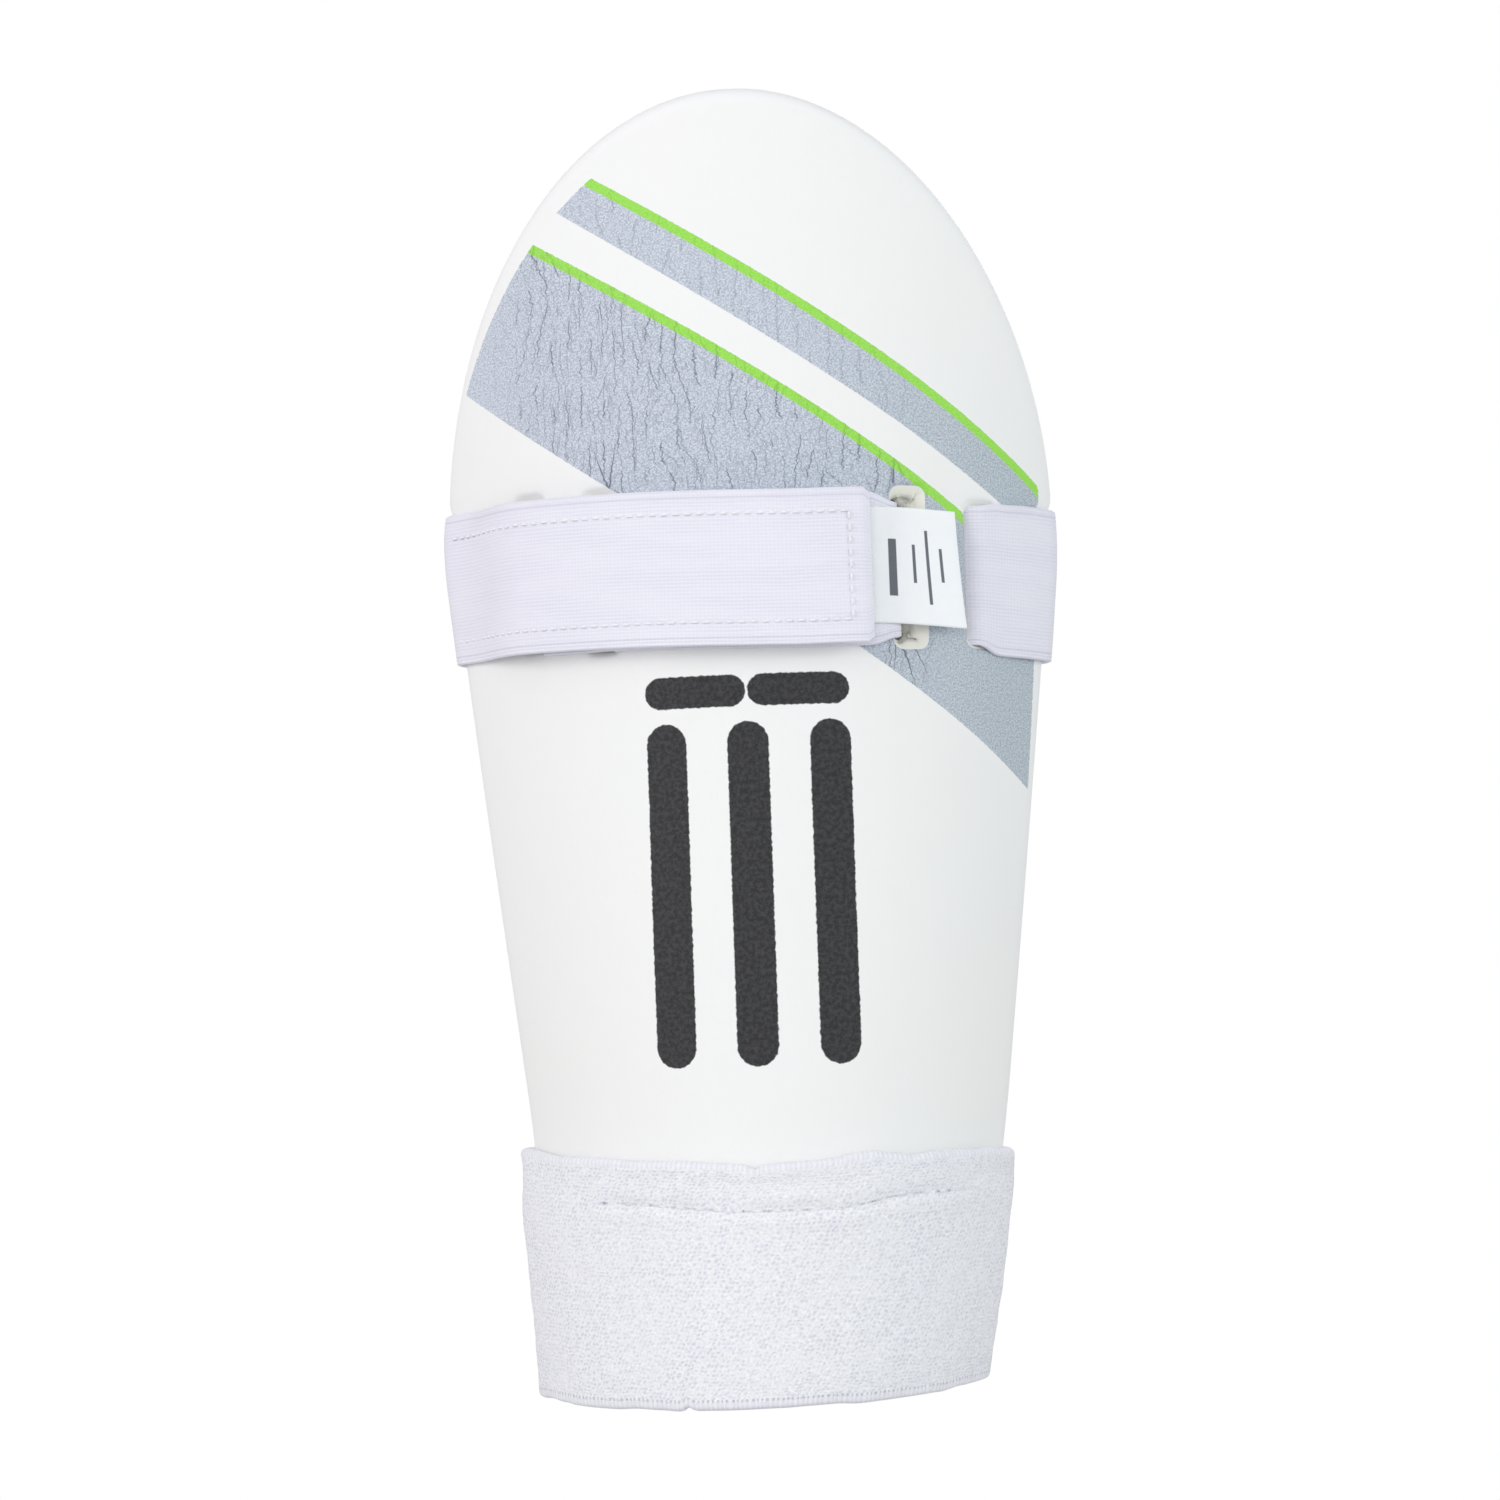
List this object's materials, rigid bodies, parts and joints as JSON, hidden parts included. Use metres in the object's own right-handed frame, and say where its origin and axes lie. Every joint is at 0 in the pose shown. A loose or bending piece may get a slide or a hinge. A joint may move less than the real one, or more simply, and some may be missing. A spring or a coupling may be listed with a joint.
{
  "type": "cricket forearm guard",
  "caption": "Arched foam forearm guard with a slotted shell, a hook-and-loop elastic strap and a terry wristband.",
  "frame": {"origin": "on the table at the middle of the guard's outline, with the guard standing on the wristband's lower edge", "axes": "+Z from the wrist end to the elbow end; the outer face looks along -Y and the arm lies on the +Y side; +X is to the right when the outer face is looked at"},
  "size_m": [0.1389, 0.0556, 0.282],
  "materials": {
    "foam": "moulded closed-cell foam, smooth off-white skin, satin",
    "lining": "brushed knit, off-white, matt",
    "elastic": "ribbed woven elastic, white with a lilac tint",
    "hook_tape": "moulded hooks on a woven tape, white",
    "loop_tape": "brushed loop pile, white",
    "satin": "satin ribbon, white",
    "terry": "elastic terry towelling, white",
    "thread": "twisted polyester thread, white"
  },
  "bodies": {
    "guard": {"foam_shell": "foam", "shell_lining": "lining", "strap_front_run": "elastic", "strap_left_wrap": "elastic", "loop_patch": "loop_tape", "label_stub": "satin", "wristband_front": "terry", "loop_patch_stitching": "thread", "strap_anchor_stitching": "thread", "label_stitching": "thread", "wristband_seam_stitching": "thread"},
    "tab": {"strap_tab": "elastic", "hook_patch": "hook_tape", "tab_stitching": "thread"},
    "label": {"label_flap": "satin"},
    "strap_rear": {"strap_rear_run": "elastic"},
    "band_rear": {"wristband_back": "terry", "wristband_join_stitching": "thread"}
  },
  "joints": [
    {"name": "tab_peel", "type": "hinge", "parent": "guard", "child": "tab", "pos_m": [-0.05995, 0.00074, 0.17828], "axis": [0.0237, 0.0528, -0.9983], "range_deg": [0, 150]},
    {"name": "label_lift", "type": "hinge", "parent": "guard", "child": "label", "pos_m": [0.02754, -0.01828, 0.17601], "axis": [-0.0003, 0.0109, -0.9999], "range_deg": [0, 90]},
    {"name": "strap_stretch", "type": "slide", "parent": "guard", "child": "strap_rear", "axis": [0, 1, 0], "range_m": [0, 0.02]},
    {"name": "band_stretch", "type": "slide", "parent": "guard", "child": "band_rear", "axis": [0, 1, 0], "range_m": [0, 0.015]}
  ]
}
